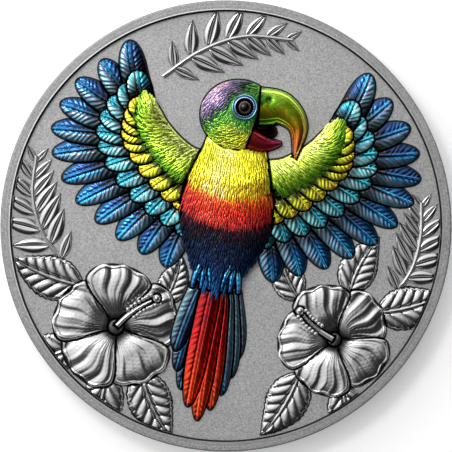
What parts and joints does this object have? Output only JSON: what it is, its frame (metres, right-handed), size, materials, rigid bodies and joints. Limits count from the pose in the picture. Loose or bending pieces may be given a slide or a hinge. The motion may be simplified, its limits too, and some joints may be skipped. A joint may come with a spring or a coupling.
{
  "type": "high-relief silver collector's coin",
  "caption": "Round antiqued-silver coin in high relief, with a lacquered parrot in flight over silver hibiscus flowers, leaves and fronds, and a plain rosette underneath.",
  "frame": {"origin": "middle of the underside, on the plane that the rim rests on", "axes": "+X to the right of the picture, +Y to its top, +Z out of the face that carries the picture"},
  "size_m": [0.05, 0.05, 0.0048],
  "materials": {
    "silver": "antiqued silver: matte grained field, dark recesses, polished high points",
    "lacquer_lime": "translucent lime lacquer over struck silver, glossy",
    "lacquer_green": "translucent leaf-green lacquer over struck silver, glossy",
    "lacquer_yellow": "translucent yellow lacquer over struck silver, glossy",
    "lacquer_red": "translucent red lacquer over struck silver, glossy",
    "lacquer_crimson": "translucent crimson lacquer over struck silver, glossy",
    "lacquer_blue": "translucent blue lacquer over struck silver, glossy",
    "lacquer_navy": "dark blue lacquer over struck silver, glossy",
    "lacquer_cyan": "light blue lacquer over struck silver, glossy",
    "lacquer_teal": "blue-green lacquer over struck silver, glossy",
    "lacquer_black": "black lacquer over struck silver, glossy"
  },
  "bodies": {
    "root": {"eye": "lacquer_black", "cheek": "lacquer_cyan", "bill_upper": "lacquer_lime", "bill_lower": "lacquer_crimson", "head": "lacquer_green", "foot_left": "lacquer_cyan", "foot_right": "lacquer_cyan", "bib": "lacquer_yellow", "breast_band": "lacquer_red", "belly": "lacquer_navy", "wing_left_shoulder": "lacquer_lime", "wing_left_median_coverts": "lacquer_yellow", "wing_left_greater_coverts": "lacquer_teal", "wing_left_secondaries": "lacquer_blue", "wing_left_primaries": "lacquer_navy", "wing_right_shoulder": "lacquer_lime", "wing_right_median_coverts": "lacquer_yellow", "wing_right_greater_coverts": "lacquer_teal", "wing_right_secondaries": "lacquer_blue", "wing_right_primaries": "lacquer_navy", "tail_middle": "lacquer_red", "tail_left": "lacquer_black", "tail_right": "lacquer_black", "coin": "silver"}
  },
  "joints": []
}
